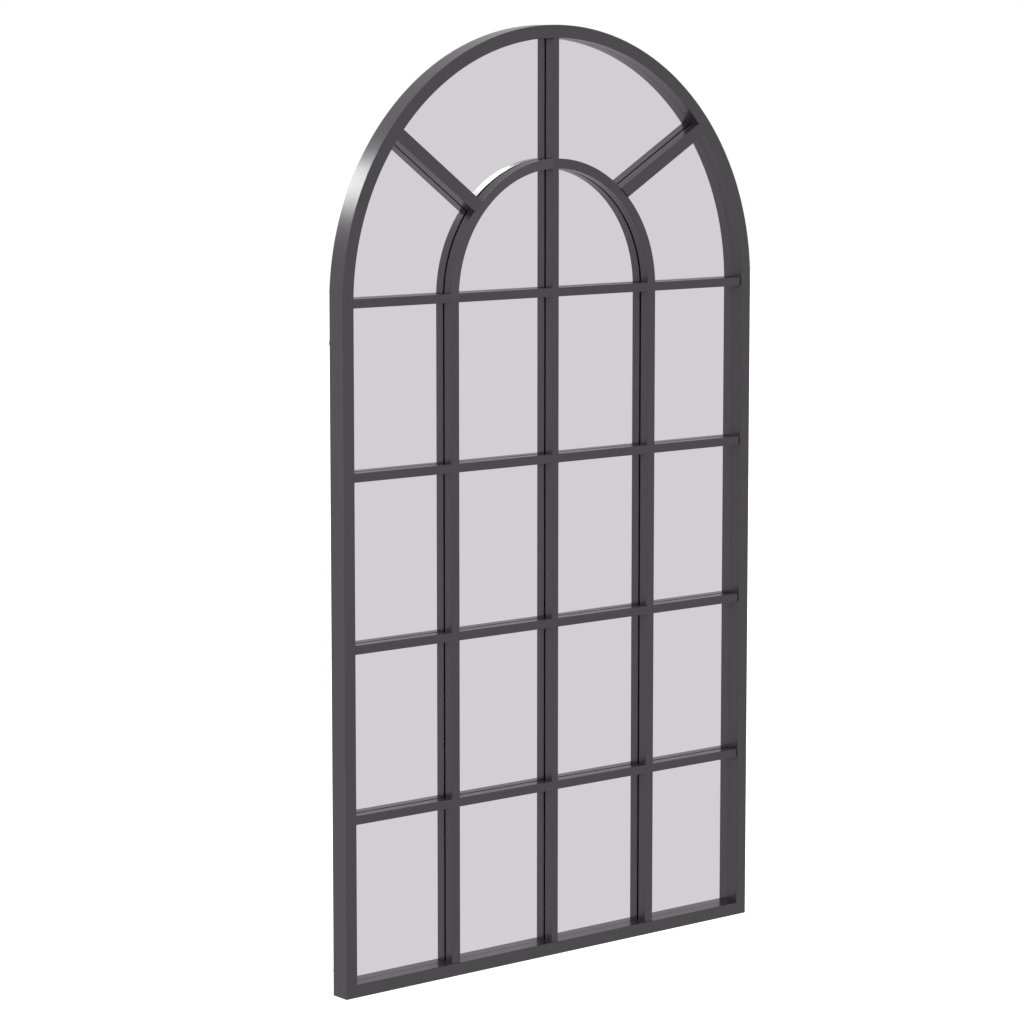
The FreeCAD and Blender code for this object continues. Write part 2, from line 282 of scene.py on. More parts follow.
# ---- finishes -----------------------------------------------------------------------
@dataclass(frozen=True)
class Finish:
    """A finish whose colour and roughness drift between two values over a fine grain."""

    name: str
    slot: str
    colour: Colour
    drift_colour: Colour
    smoothest: float
    roughest: float
    grain_size: float
    drift_size: float
    depth: float
    metallic: float = 0.0
    specular: float = 0.5

    def material(self, patterns: Patterns) -> bpy.types.Material:
        """Builds the material.

        Args:
            patterns: the shared node groups.

        Returns:
            The material, named after the finish.
        """
        material = bpy.data.materials.new(self.name)
        material.use_nodes = True
        material.node_tree.nodes.clear()
        wiring = Wiring(material.node_tree)
        sizes = {
            "Grain size": self.grain_size, "Drift size": self.drift_size, "Depth": self.depth,
        }
        uneven = wiring.add("ShaderNodeGroup", node_tree=patterns.unevenness)
        for name, value in sizes.items():
            uneven.inputs[name].default_value = value
        colour, roughness, normal = self.pattern(wiring, uneven, patterns)
        shader = wiring.add("ShaderNodeBsdfPrincipled", {
            "Base Color": colour, "Roughness": roughness, "Normal": normal,
            "Metallic": self.metallic, "Specular IOR Level": self.specular,
        })
        wiring.add("ShaderNodeOutputMaterial", {"Surface": shader.outputs["BSDF"]})
        return material

    def pattern(self, wiring: Wiring, uneven: bpy.types.Node, patterns: Patterns) -> Look:
        """What varies over the surface.

        Args:
            wiring: of the material's tree.
            uneven: the node with the grain and the drift.
            patterns: the shared node groups.

        Returns:
            The sockets of the colour, the roughness and the normal.
        """
        drift = uneven.outputs["Drift"]
        return self.blend(wiring, drift), self.roughness(wiring, drift), uneven.outputs["Normal"]

    def blend(self, wiring: Wiring, share: Socket) -> Socket:
        """Mixes the finish's two colours.

        Args:
            wiring: of the material's tree.
            share: of the second colour.

        Returns:
            The colour's socket.
        """
        ramp = wiring.add("ShaderNodeValToRGB", {"Fac": share})
        first, last = ramp.color_ramp.elements
        first.position, last.position = BLACK_TO_WHITE
        first.color, last.color = (*self.colour, 1.0), (*self.drift_colour, 1.0)
        return ramp.outputs["Color"]

    def roughness(self, wiring: Wiring, share: Socket) -> Socket:
        """Spreads a share over the finish's range of roughness.

        Args:
            wiring: of the material's tree.
            share: 0 where it is smoothest, 1 where it is roughest.

        Returns:
            The roughness's socket.
        """
        least, most = SMOOTH_TO_ROUGH
        limits = {"Value": share, "From Min": least, "From Max": most}
        limits.update({"To Min": self.smoothest, "To Max": self.roughest})
        return wiring.add("ShaderNodeMapRange", limits).outputs["Result"]


@dataclass(frozen=True)
class PressedBoard(Finish):
    """Hardboard: matted fibres, with the print of the screen it was pressed on."""

    fibre_length: float = 0.012
    fibre_width: float = 0.0012
    fibre_detail: float = 5.0
    fibre_twist: float = 1.2
    fibre_share: float = 0.72               # of the colour; the rest is the slow drift
    screen_pitch: float = 0.0022
    screen_depth: float = 0.00012

    def pattern(self, wiring: Wiring, uneven: bpy.types.Node, patterns: Patterns) -> Look:
        """Colours the fibres and presses the screen's crossing wires into them.

        Args:
            wiring: of the material's tree.
            uneven: the node with the grain and the drift.
            patterns: the shared node groups.

        Returns:
            The sockets of the colour, the roughness and the normal.
        """
        place = wiring.add("ShaderNodeTexCoord").outputs["Object"]
        stretch = (1 / self.fibre_length, 1 / self.fibre_width, 1 / self.fibre_width)
        along = wiring.add("ShaderNodeMapping", {"Vector": place, "Scale": stretch})
        fibres = wiring.add("ShaderNodeTexNoise", {
            "Vector": along.outputs["Vector"], "Scale": 1.0, "Detail": self.fibre_detail,
            "Distortion": self.fibre_twist,
        })
        share = wiring.add(
            "ShaderNodeMix",
            {"Factor": self.fibre_share, "A": uneven.outputs["Drift"], "B": fibres.outputs["Fac"]},
        )
        wires = [
            wiring.add(
                "ShaderNodeTexWave",
                {"Vector": place, "Scale": WAVE_OF_ONE_METRE / self.screen_pitch},
                bands_direction=direction,
            ).outputs["Fac"]
            for direction in ("X", "Z")
        ]
        crossing = wiring.add("ShaderNodeMath", {0: wires[0], 1: wires[1]}, operation="MULTIPLY")
        print_of_screen = wiring.add("ShaderNodeBump", {
            "Height": crossing.outputs[0], "Distance": self.screen_depth,
            "Normal": uneven.outputs["Normal"],
        })
        colour = self.blend(wiring, share.outputs["Result"])
        roughness = self.roughness(wiring, uneven.outputs["Grain"])
        return colour, roughness, print_of_screen.outputs["Normal"]


@dataclass(frozen=True)
class Cellular(Finish):
    """A finish of cells: foam's pores, or the crystals of a zinc coat."""

    cell_size: float = 0.001
    cell_depth: float = 0.0

    def pattern(self, wiring: Wiring, uneven: bpy.types.Node, patterns: Patterns) -> Look:
        """Gives each cell its own shade and sets its rim off.

        Args:
            wiring: of the material's tree.
            uneven: the node with the grain and the drift.
            patterns: the shared node groups.

        Returns:
            The sockets of the colour, the roughness and the normal.
        """
        cells = wiring.add("ShaderNodeGroup", node_tree=patterns.cells)
        cells.inputs["Cell size"].default_value = self.cell_size
        colour = self.blend(wiring, cells.outputs["Shade"])
        roughness = self.roughness(wiring, uneven.outputs["Grain"])
        rims = wiring.add("ShaderNodeBump", {
            "Height": cells.outputs["Rim"], "Distance": self.cell_depth,
            "Normal": uneven.outputs["Normal"],
        })
        return colour, roughness, rims.outputs["Normal"]


POWDER_COAT = Finish(
    "satin_charcoal_powder_coat", "powder_coat", (0.0195, 0.0164, 0.0195), (0.0225, 0.0190, 0.0225),
    smoothest=0.26, roughest=0.31, grain_size=0.0022, drift_size=0.09, depth=0.000002,
    specular=0.95,
)
SILVERED_GLASS = Finish(
    "silvered_glass", "mirror", (0.972, 0.975, 0.972), (0.965, 0.968, 0.966),
    smoothest=0.0, roughest=0.004, grain_size=0.045, drift_size=0.22, depth=0.0, metallic=1.0,
)
HARDBOARD = PressedBoard(
    "pressed_hardboard", "hardboard", (0.25, 0.150, 0.080), (0.150, 0.082, 0.042),
    smoothest=0.62, roughest=0.85, grain_size=0.0009, drift_size=0.055, depth=0.00008,
    specular=0.3,
)
FOAM = Cellular(
    "black_foam_tape", "foam_tape", (0.004, 0.004, 0.004), (0.009, 0.009, 0.009),
    smoothest=0.88, roughest=1.0, grain_size=0.0006, drift_size=0.02, depth=0.00004,
    specular=0.1, cell_size=0.0007, cell_depth=0.0001,
)
ZINC_PLATE = Cellular(
    "zinc_plated_steel", "zinc_steel", (0.50, 0.51, 0.53), (0.68, 0.69, 0.70),
    smoothest=0.28, roughest=0.42, grain_size=0.0006, drift_size=0.01, depth=0.000004,
    metallic=1.0, cell_size=0.0032,
)
NICKEL_WIRE = Finish(
    "nickel_plated_wire", "nickel", (0.66, 0.63, 0.58), (0.60, 0.575, 0.53),
    smoothest=0.14, roughest=0.26, grain_size=0.0008, drift_size=0.006, depth=0.000003,
    metallic=1.0,
)
BUMPER_RUBBER = Cellular(
    "matte_black_rubber", "bumper_rubber", (0.022, 0.022, 0.022), (0.030, 0.030, 0.030),
    smoothest=0.60, roughest=0.78, grain_size=0.0005, drift_size=0.004, depth=0.00003,
    cell_size=0.0011, cell_depth=0.00002,
)
FINISHES = (
    POWDER_COAT, SILVERED_GLASS, HARDBOARD, FOAM, ZINC_PLATE, NICKEL_WIRE, BUMPER_RUBBER,
)


class Wardrobe:
    """Holds the material of each finish, made once."""

    def __init__(self) -> None:
        """Makes the shared patterns, then every material."""
        patterns = Patterns(unevenness_group(), cells_group())
        self.materials = {finish: finish.material(patterns) for finish in FINISHES}

    def __getitem__(self, finish: Finish) -> bpy.types.Material:
        """The material of a finish."""
        return self.materials[finish]


# ---- meshes from outlines -----------------------------------------------------------
def stacked(name: str, rings: Sequence[Sequence[Vector]]) -> bpy.types.Mesh:
    """Closes a stack of outlines with the same number of points into one shell.

    Args:
        name: of the mesh.
        rings: the outlines from one end to the other.

    Returns:
        The mesh, with its faces outwards.
    """
    mesh = bpy.data.meshes.new(name)
    shell = bmesh.new()
    rows = [[shell.verts.new(point) for point in ring] for ring in rings]
    for lower, upper in zip(rows, rows[1:]):
        for index, corner in enumerate(lower):
            before = index - 1
            shell.faces.new((lower[before], corner, upper[index], upper[before]))
    shell.faces.new(rows[0])
    shell.faces.new(rows[-1])
    bmesh.ops.recalc_face_normals(shell, faces=shell.faces)
    shell.to_mesh(mesh)
    shell.free()
    return mesh


def turned(name: str, profile: Sequence[Place], steps: int) -> bpy.types.Mesh:
    """Turns a profile about the Y axis, as on a lathe.

    Args:
        name: of the mesh.
        profile: radius and y of each point, from one end to the other.
        steps: how many straight sides stand for the circle.

    Returns:
        The closed mesh.
    """
    angles = [2 * math.pi * step / steps for step in range(steps)]
    rings = [
        [Vector((radius * math.cos(angle), y, radius * math.sin(angle))) for angle in angles]
        for radius, y in profile
    ]
    return stacked(name, rings)


def quarter(centre: Place, radius: float, start: float, steps: int) -> list[Place]:
    """Points of a quarter circle.

    Args:
        centre: of the circle.
        radius: of the circle.
        start: angle of the first point, in degrees.
        steps: how many straight lines stand for the arc.

    Returns:
        The points, counter-clockwise.
    """
    angles = [math.radians(start + 90 * step / steps) for step in range(steps + 1)]
    return [(centre[0] + radius * math.cos(a), centre[1] + radius * math.sin(a)) for a in angles]


def new_piece(name: str, mesh: bpy.types.Mesh) -> bpy.types.Object:
    """Puts a mesh into the scene.

    Args:
        name: of the piece.
        mesh: with its place in its vertices.

    Returns:
        The piece, at the origin.
    """
    piece = bpy.data.objects.new(name, mesh)
    bpy.context.scene.collection.objects.link(piece)
    return piece


def settle(piece: bpy.types.Object) -> None:
    """Turns what a piece's modifiers make of it into its own plain mesh.

    Args:
        piece: the object, which keeps its name and loses its modifiers.
    """
    graph = bpy.context.evaluated_depsgraph_get()
    made = bpy.data.meshes.new_from_object(
        piece.evaluated_get(graph), preserve_all_data_layers=True, depsgraph=graph
    )
    piece.modifiers.clear()
    first, piece.data = piece.data, made
    bpy.data.meshes.remove(first)


def face_outwards(mesh: bpy.types.Mesh) -> None:
    """Turns every face outwards.

    Args:
        mesh: of one or more closed shells.
    """
    shell = bmesh.new()
    shell.from_mesh(mesh)
    bmesh.ops.recalc_face_normals(shell, faces=shell.faces)
    shell.to_mesh(mesh)
    shell.free()


def flatten_shading(piece: bpy.types.Object) -> None:
    """Shades flat faces flat and the small radii between them round.

    Args:
        piece: its mesh is replaced by one with its own normals.
    """
    weighted = piece.modifiers.new("flat faces stay flat", "WEIGHTED_NORMAL")
    weighted.keep_sharp = True
    settle(piece)


# ---- Geometry Nodes -----------------------------------------------------------------
class NodeModifier:
    """A Geometry Nodes tree and the identifiers of its inputs."""

    def __init__(self, name: str, kinds: dict[str, str]) -> None:
        """Starts the tree.

        Args:
            name: of the tree.
            kinds: the type of socket of each input by name, the geometry first.
        """
        self.tree = bpy.data.node_groups.new(name, "GeometryNodeTree")
        self.wiring = Wiring(self.tree)
        self.given = self.wiring.group_inputs(kinds)
        inputs = [item for item in self.tree.interface.items_tree if item.in_out == "INPUT"]
        self.identifiers = {item.name: item.identifier for item in inputs}

    def close(self, geometry: Socket) -> None:
        """Makes instances real, gives them their finish and ends the tree.

        Args:
            geometry: what the tree has made.
        """
        real = self.wiring.add("GeometryNodeRealizeInstances", {"Geometry": geometry})
        dressed = self.wiring.add("GeometryNodeSetMaterial", {
            "Geometry": real.outputs["Geometry"], "Material": self.given.outputs["Finish"],
        })
        outputs = {"Geometry": "NodeSocketGeometry"}
        self.wiring.group_outputs(outputs, [dressed.outputs["Geometry"]])

    def run(self, piece: bpy.types.Object, values: dict) -> None:
        """Runs the tree on a piece with the given inputs and keeps the result.

        Args:
            piece: its mesh is the tree's first input, and then holds the result.
            values: the other inputs by name.
        """
        modifier = piece.modifiers.new(self.tree.name, "NODES")
        modifier.node_group = self.tree
        for name, value in values.items():
            modifier[self.identifiers[name]] = value
        settle(piece)
        face_outwards(piece.data)


@dataclass(frozen=True)
class Section:
    """Rounded rectangle that a member has all along its line."""

    face: float
    front: float
    back: float
    corner: float
    corner_steps: int = 4


class SectionSweep(NodeModifier):
    """Carries a rounded section along lines drawn in the XY plane and stands them upright."""

    SHARP = math.radians(35)            # a turn between faces that shows as an edge
    SAME_PLACE = 1e-7                   # points nearer than this are one

    def __init__(self) -> None:
        """Builds the tree: outline, sweep, shading, and a turn from level to upright."""
        sizes = ("Face", "Depth", "Corner", "Middle")
        super().__init__("section_sweep", {
            "Lines": "NodeSocketGeometry", **dict.fromkeys(sizes, "NodeSocketFloat"),
            "Corner steps": "NodeSocketInt", "Finish": "NodeSocketMaterial",
        })
        add, given = self.wiring.add, self.given.outputs
        curves = add("GeometryNodeMeshToCurve", {"Mesh": given["Lines"]})
        level = add(
            "GeometryNodeSetCurveNormal", {"Curve": curves.outputs["Curve"]}, mode="Z_UP"
        )
        outline = add(
            "GeometryNodeCurvePrimitiveQuadrilateral",
            {"Width": given["Face"], "Height": given["Depth"]},
        )
        rounded = add("GeometryNodeFilletCurve", {
            "Curve": outline.outputs["Curve"], "Radius": given["Corner"],
            "Count": given["Corner steps"],
        }, mode="POLY")
        swept = add("GeometryNodeCurveToMesh", {
            "Curve": level.outputs["Curve"], "Profile Curve": rounded.outputs["Curve"],
            "Fill Caps": True,
        })
        merged = add("GeometryNodeMergeByDistance", {
            "Geometry": swept.outputs["Mesh"], "Distance": self.SAME_PLACE,
        })
        smooth = add("GeometryNodeSetShadeSmooth", {
            "Geometry": merged.outputs["Geometry"], "Shade Smooth": True,
        })
        bend = add("GeometryNodeInputMeshEdgeAngle").outputs["Unsigned Angle"]
        sharp = add("FunctionNodeCompare", {0: bend, 1: self.SHARP}, operation="GREATER_THAN")
        edged = add("GeometryNodeSetShadeSmooth", {
            "Geometry": smooth.outputs["Geometry"], "Selection": sharp.outputs["Result"],
            "Shade Smooth": False,
        }, domain="EDGE")
        offset = add("ShaderNodeCombineXYZ", {"Y": given["Middle"]})
        upright = add("GeometryNodeTransform", {
            "Geometry": edged.outputs["Geometry"], "Translation": offset.outputs["Vector"],
            "Rotation": (math.pi / 2, 0, 0),
        })
        self.close(upright.outputs["Geometry"])

    def carry(
        self, name: str, lines: Sequence[Sequence[Place]], section: Section,
        finish: bpy.types.Material, closed: bool = False,
    ) -> bpy.types.Object:
        """Makes one piece of one or more members with the same section.

        Args:
            name: of the piece.
            lines: the points of each member's middle line, in the plane of the window.
            section: what the members have all along.
            finish: the material.
            closed: whether each line comes back to its first point.

        Returns:
            The piece, standing at its own depth.
        """
        vertices, edges = [], []
        for line in lines:
            first = len(vertices)
            vertices += [(x, z, 0.0) for x, z in line]
            numbers = list(range(first, len(vertices)))
            edges += list(zip(numbers, numbers[1:]))
            if closed:
                edges.append((numbers[-1], first))
        mesh = bpy.data.meshes.new(name)
        mesh.from_pydata(vertices, edges, [])
        piece = new_piece(name, mesh)
        self.run(piece, {
            "Face": section.face, "Depth": section.back - section.front,
            "Corner": section.corner, "Middle": (section.front + section.back) / 2,
            "Corner steps": section.corner_steps, "Finish": finish,
        })
        return piece


class Scatter(NodeModifier):
    """Puts a copy of one item on each point, turned about Y by the point's own angle."""

    TURN = "turn"

    def __init__(self) -> None:
        """Builds the tree: one instance for each point."""
        super().__init__("scatter", {
            "Places": "NodeSocketGeometry", "Item": "NodeSocketObject",
            "Finish": "NodeSocketMaterial",
        })
        add, given = self.wiring.add, self.given.outputs
        item = add("GeometryNodeObjectInfo", {"Object": given["Item"]})
        turn = add("GeometryNodeInputNamedAttribute", {"Name": self.TURN}, data_type="FLOAT")
        about_y = add("ShaderNodeCombineXYZ", {"Y": turn.outputs["Attribute"]})
        copies = add("GeometryNodeInstanceOnPoints", {
            "Points": given["Places"], "Instance": item.outputs["Geometry"],
            "Rotation": about_y.outputs["Vector"],
        })
        self.close(copies.outputs["Instances"])

    def spread(
        self, name: str, places: Sequence[TurnedPlace],
        item: bpy.types.Object, finish: bpy.types.Material,
    ) -> bpy.types.Object:
        """Makes one piece of copies of an item.

        Args:
            name: of the piece.
            places: the turn, x and z of each copy.
            item: drawn at x = z = 0, at its own depth. It stays as it is.
            finish: the material.

        Returns:
            The piece.
        """
        mesh = bpy.data.meshes.new(name)
        mesh.from_pydata([(x, 0.0, z) for _, x, z in places], [], [])
        turns = mesh.attributes.new(self.TURN, "FLOAT", "POINT")
        turns.data.foreach_set("value", [turn for turn, _, _ in places])
        piece = new_piece(name, mesh)
        self.run(piece, {"Item": item, "Finish": finish})
        return piece


# ---- lines of the window ------------------------------------------------------------
@dataclass(frozen=True)
class Run:
    """A straight member. Its places are along and across, from an origin in the window."""

    origin: Place
    heading: float
    across: float
    start: Rule
    end: Rule

    def point(self, along: float, across: float) -> Place:
        """X and Z of a place by the member's own heading.

        Args:
            along: how far along the heading.
            across: how far to its left.

        Returns:
            The point in the plane of the window.
        """
        ahead_x, ahead_z = math.cos(self.heading), math.sin(self.heading)
        x = self.origin[0] + along * ahead_x - across * ahead_z
        return x, self.origin[1] + along * ahead_z + across * ahead_x

    def line(self) -> list[Place]:
        """The two ends of the member's middle line."""
        return [self.point(rule(self.across), self.across) for rule in (self.start, self.end)]

    def cut(self, mesh: bpy.types.Mesh) -> None:
        """Moves every vertex of the swept member to the nearer end's own rule.

        Args:
            mesh: the member, swept along its line.
        """
        ahead_x, ahead_z = math.cos(self.heading), math.sin(self.heading)
        middle = (self.start(self.across) + self.end(self.across)) / 2
        for vertex in mesh.vertices:
            x, z = vertex.co.x - self.origin[0], vertex.co.z - self.origin[1]
            along, across = x * ahead_x + z * ahead_z, z * ahead_x - x * ahead_z
            rule = self.end if along > middle else self.start
            vertex.co.x, vertex.co.z = self.point(rule(across), across)


@dataclass(frozen=True)
class Bend:
    """A member that follows part of a circle, from one angle to another."""

    centre: Place
    radius: float
    start_angle: float
    end_angle: float
    end_x: float | None = None          # the upright face that it ends on, if any
    step: float = math.radians(1.4)

    def angles(self) -> list[float]:
        """Spaces the line's points evenly.

        Returns:
            Their angles, from start to end.
        """
        turn = self.end_angle - self.start_angle
        count = math.ceil(abs(turn) / self.step)
        return [self.start_angle + turn * number / count for number in range(count + 1)]

    def line(self) -> list[Place]:
        """Places the points of the member's middle line.

        Returns:
            The points, from start to end.
        """
        x, z = self.centre
        return [
            (x + self.radius * math.cos(a), z + self.radius * math.sin(a)) for a in self.angles()
        ]

    def cut(self, mesh: bpy.types.Mesh) -> None:
        """Squares the first ring, and sets the last against an upright face where it has one.

        Args:
            mesh: the member, swept along its line.
        """
        half_step = abs(self.end_angle - self.start_angle) / (len(self.angles()) - 1) / 2
        for vertex in mesh.vertices:
            x, z = vertex.co.x - self.centre[0], vertex.co.z - self.centre[1]
            angle, radius = math.atan2(z, x) % (2 * math.pi), math.hypot(x, z)
            for end in (self.start_angle, self.end_angle):
                off = (angle - end + math.pi) % (2 * math.pi) - math.pi
                if abs(off) < half_step:
                    angle = end
            if self.end_x is not None and angle == self.end_angle:
                angle = math.acos(self.end_x / radius)
            vertex.co.x = self.centre[0] + radius * math.cos(angle)
            vertex.co.z = self.centre[1] + radius * math.sin(angle)


@dataclass(frozen=True)
class Strip:
    """How a bar, or the tape under it, fills the lines of the window.

    The inset narrows it on each side, and its ends reach a little into what they meet.
    """

    front: float
    spoke_front: float
    back: float
    corner: float
    corner_steps: int
    inset: float = 0.0
    into_bar: float = 0.0
    into_frame: float = 0.0


@dataclass(frozen=True)
class Member:
    """One bar or tape: its line and its section."""

    line: Run | Bend
    section: Section


@dataclass(frozen=True)
class WindowLines:
    """The lines that the glazing bars and the tapes under them follow."""

    plan: WindowPlan
    spoke_foot: tuple[float, float] = (41.7, 47.7)      # degrees up the inner arch
    spoke_slope: tuple[float, float] = (36.8, 30.9)     # degrees from level, left and right

    def section(self, face: float, strip: Strip, front: float) -> Section:
        """Section of a member as wide as a bar, less the strip's inset."""
        return Section(face - 2 * strip.inset, front, strip.back, strip.corner, strip.corner_steps)

    def members(self, strip: Strip) -> dict[str, Member]:
        """Every bar or tape.

        Args:
            strip: the sizes of the section and how far the ends reach.

        Returns:
            The members by the name that their CAD node has for the bars.
        """
        plan = self.plan
        made = {"centre_bar": Member(
            self.centre_bar(strip), self.section(plan.centre_bar_face, strip, strip.front)
        )}
        upright = self.section(plan.side_bar_face, strip, strip.front)
        slanted = self.section(plan.spoke_face, strip, strip.spoke_front)
        for side in Side:
            made["side_bar_" + side.word] = Member(self.side_bar(strip, side), upright)
            made["inner_arch_" + side.word] = Member(self.inner_arch(strip, side), upright)
            made["spoke_" + side.word] = Member(self.spoke(strip, side), slanted)
        level = self.section(plan.cross_bar_face, strip, strip.front)
        for name, line in self.cross_bars(strip).items():
            made[name] = Member(line, level)
        return made

    def centre_bar(self, strip: Strip) -> Run:
        """From the bottom rail to the top of the frame's arch.

        Args:
            strip: what runs along the line.

        Returns:
            The line.
        """
        plan = self.plan
        foot = plan.frame_face - strip.into_frame - plan.springline
        reach = plan.inner_radius + strip.into_frame
        origin = (0.0, plan.springline)
        return Run(
            origin, math.pi / 2, 0.0, lambda across: foot,
            lambda across: math.sqrt(reach**2 - across**2),
        )

    def side_bar(self, strip: Strip, side: Side) -> Run:
        """From the bottom rail to the foot of the inner arch.

        Args:
            strip: what runs along the line.
            side: of the window.

        Returns:
            The line.
        """
        foot = self.plan.frame_face - strip.into_frame
        across = -side.value * self.plan.side_bar_x
        return Run(
            (0.0, 0.0), math.pi / 2, across, lambda across: foot,
            lambda across: self.plan.springline,
        )

    def inner_arch(self, strip: Strip, side: Side) -> Bend:
        """From the side bar to the centre bar.

        Args:
            strip: what runs along the line.
            side: of the window.

        Returns:
            The line.
        """
        start = 0.0 if side is Side.RIGHT else math.pi
        end_x = side.value * (self.plan.centre_bar_face / 2 - strip.into_bar)
        end = math.acos(end_x / self.plan.side_bar_x)
        return Bend((0.0, self.plan.springline), self.plan.side_bar_x, start, end, end_x)

    def spoke(self, strip: Strip, side: Side) -> Run:
        """From the outside of the inner arch to the inside of the frame's arch.

        Args:
            strip: what runs along the line.
            side: of the window.

        Returns:
            The line.
        """
        plan = self.plan
        number = list(Side).index(side)
        foot, slope = math.radians(self.spoke_foot[number]), math.radians(self.spoke_slope[number])
        heading = slope if side is Side.RIGHT else math.pi - slope
        across = side.value * plan.side_bar_x * math.sin(foot - slope)
        near = plan.side_bar_x + plan.side_bar_face / 2 - strip.into_bar
        far = plan.inner_radius + strip.into_frame
        return Run(
            (0.0, plan.springline), heading, across,
            lambda across: math.sqrt(near**2 - across**2),
            lambda across: math.sqrt(far**2 - across**2),
        )

    def cross_bars(self, strip: Strip) -> dict[str, Run]:
        """One in each bay of each row, between the faces of what it meets.

        Args:
            strip: what runs along the lines.

        Returns:
            The lines by name.
        """
        plan = self.plan
        outside = plan.inner_radius + strip.into_frame
        side_bar = plan.side_bar_x
        reach = plan.side_bar_face / 2 - strip.into_bar
        centre = plan.centre_bar_face / 2 - strip.into_bar
        bays = {
            "outer_left": (-outside, -side_bar - reach), "inner_left": (-side_bar + reach, -centre),
            "inner_right": (centre, side_bar - reach), "outer_right": (side_bar + reach, outside),
        }
        runs = {}
        for row in range(1, plan.pane_rows + 1):
            height = plan.cross_bar_height(row)
            for bay, (start, end) in bays.items():
                runs[f"cross_bar_row{row}_{bay}"] = Run(
                    (0.0, 0.0), 0.0, height,
                    lambda across, start=start: start, lambda across, end=end: end,
                )
        return runs


# ---- sub-assemblies -----------------------------------------------------------------
@dataclass
class SubAssembly:
    """What every sub-assembly needs: the plan, the finishes and the tools."""

    plan: WindowPlan
    wardrobe: Wardrobe
    sweep: SectionSweep
    scatter: Scatter

    def hand_over(
        self, piece: bpy.types.Object, body: str, finish: Finish, nodes: Sequence[str]
    ) -> None:
        """Puts a finished piece on its body in place of its CAD nodes.

        Args:
            piece: the finished piece.
            body: the CAD body that it moves with.
            finish: what it is dressed in; not used.
            nodes: the CAD nodes that it stands for.
        """
        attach(piece, body)
        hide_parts(*nodes)
        LOG.info("%s: %d faces, for %s", piece.name, len(piece.data.polygons), ", ".join(nodes))

    def member(self, name: str, members: Sequence[Member], finish: Finish) -> bpy.types.Object:
        """Sweeps members of one section and cuts a single one to its neighbours.

        Args:
            name: of the piece.
            members: all with the same section. Only straight square ends may be more than one.
            finish: what they are dressed in.

        Returns:
            The piece.
        """
        lines = [member.line.line() for member in members]
        piece = self.sweep.carry(name, lines, members[0].section, self.wardrobe[finish])
        if len(members) == 1:
            members[0].line.cut(piece.data)
        flatten_shading(piece)
        return piece


@dataclass
class OuterFrame(SubAssembly):
    """The welded outer frame: arch, two stiles and bottom rail, with no seam to be seen."""

    body: str = "frame"

    def build(self) -> None:
        """Makes the four tubes, mitred at the bottom corners."""
        plan = self.plan
        section = Section(plan.frame_face, plan.frame_front, plan.frame_back, plan.frame_corner)
        corner = plan.outer_radius
        centre = (0.0, plan.springline)
        lines = {"frame_arch": ("arch_tube", Bend(centre, plan.frame_radius, 0.0, math.pi))}
        for side in Side:
            across = -side.value * plan.frame_radius
            lines["frame_stile_" + side.word] = ("stile_tube_" + side.word, Run(
                (0.0, 0.0), math.pi / 2, across,
                lambda across: corner - abs(across), lambda across: plan.springline,
            ))
        lines["frame_bottom_rail"] = ("bottom_rail_tube", Run(
            (0.0, 0.0), 0.0, plan.frame_face / 2,
            lambda across: across - corner, lambda across: corner - across,
        ))
        for node, (name, line) in lines.items():
            piece = self.member(name, [Member(line, section)], POWDER_COAT)
            self.hand_over(piece, self.body, POWDER_COAT, [node])


@dataclass
class GlazingBars(SubAssembly):
    """The bars in front of the mirror, with the black foam tape between them and the glass."""

    body: str = "frame"
    bar_corner_steps: int = 4
    tape_inset: float = 0.003
    tape_corner: float = 0.0003
    tape_corner_steps: int = 2

    def build(self) -> None:
        """Makes every bar, then every tape."""
        plan = self.plan
        lines = WindowLines(plan)
        bar = Strip(
            plan.bar_front, plan.frame_front, plan.bar_back, plan.bar_corner,
            self.bar_corner_steps,
            into_bar=plan.bar_corner, into_frame=plan.frame_corner,
        )
        for name, member in lines.members(bar).items():
            piece = self.member(name + "_tube", [member], POWDER_COAT)
            self.hand_over(piece, self.body, POWDER_COAT, [name])
        tape = Strip(
            plan.bar_back, plan.bar_back, plan.mirror_front, self.tape_corner,
            self.tape_corner_steps,
            inset=self.tape_inset, into_bar=self.tape_inset,
        )
        for node, members in self.by_node(lines.members(tape)).items():
            piece = self.member(node.replace("glazing_tape", "foam_strip"), members, FOAM)
            self.hand_over(piece, self.body, FOAM, [node])

    def by_node(self, members: dict[str, Member]) -> dict[str, list[Member]]:
        """Sorts the tapes by CAD node: the four of a row of cross bars share one.

        Args:
            members: the tapes by the name of the bar above them.

        Returns:
            The tapes of each node.
        """
        sorted_out: dict[str, list[Member]] = {}
        for name, member in members.items():
            words = name.split("_")
            own = "cross_bars_" + words[2] if words[0] == "cross" else name
            sorted_out.setdefault("glazing_tape_" + own, []).append(member)
        return sorted_out


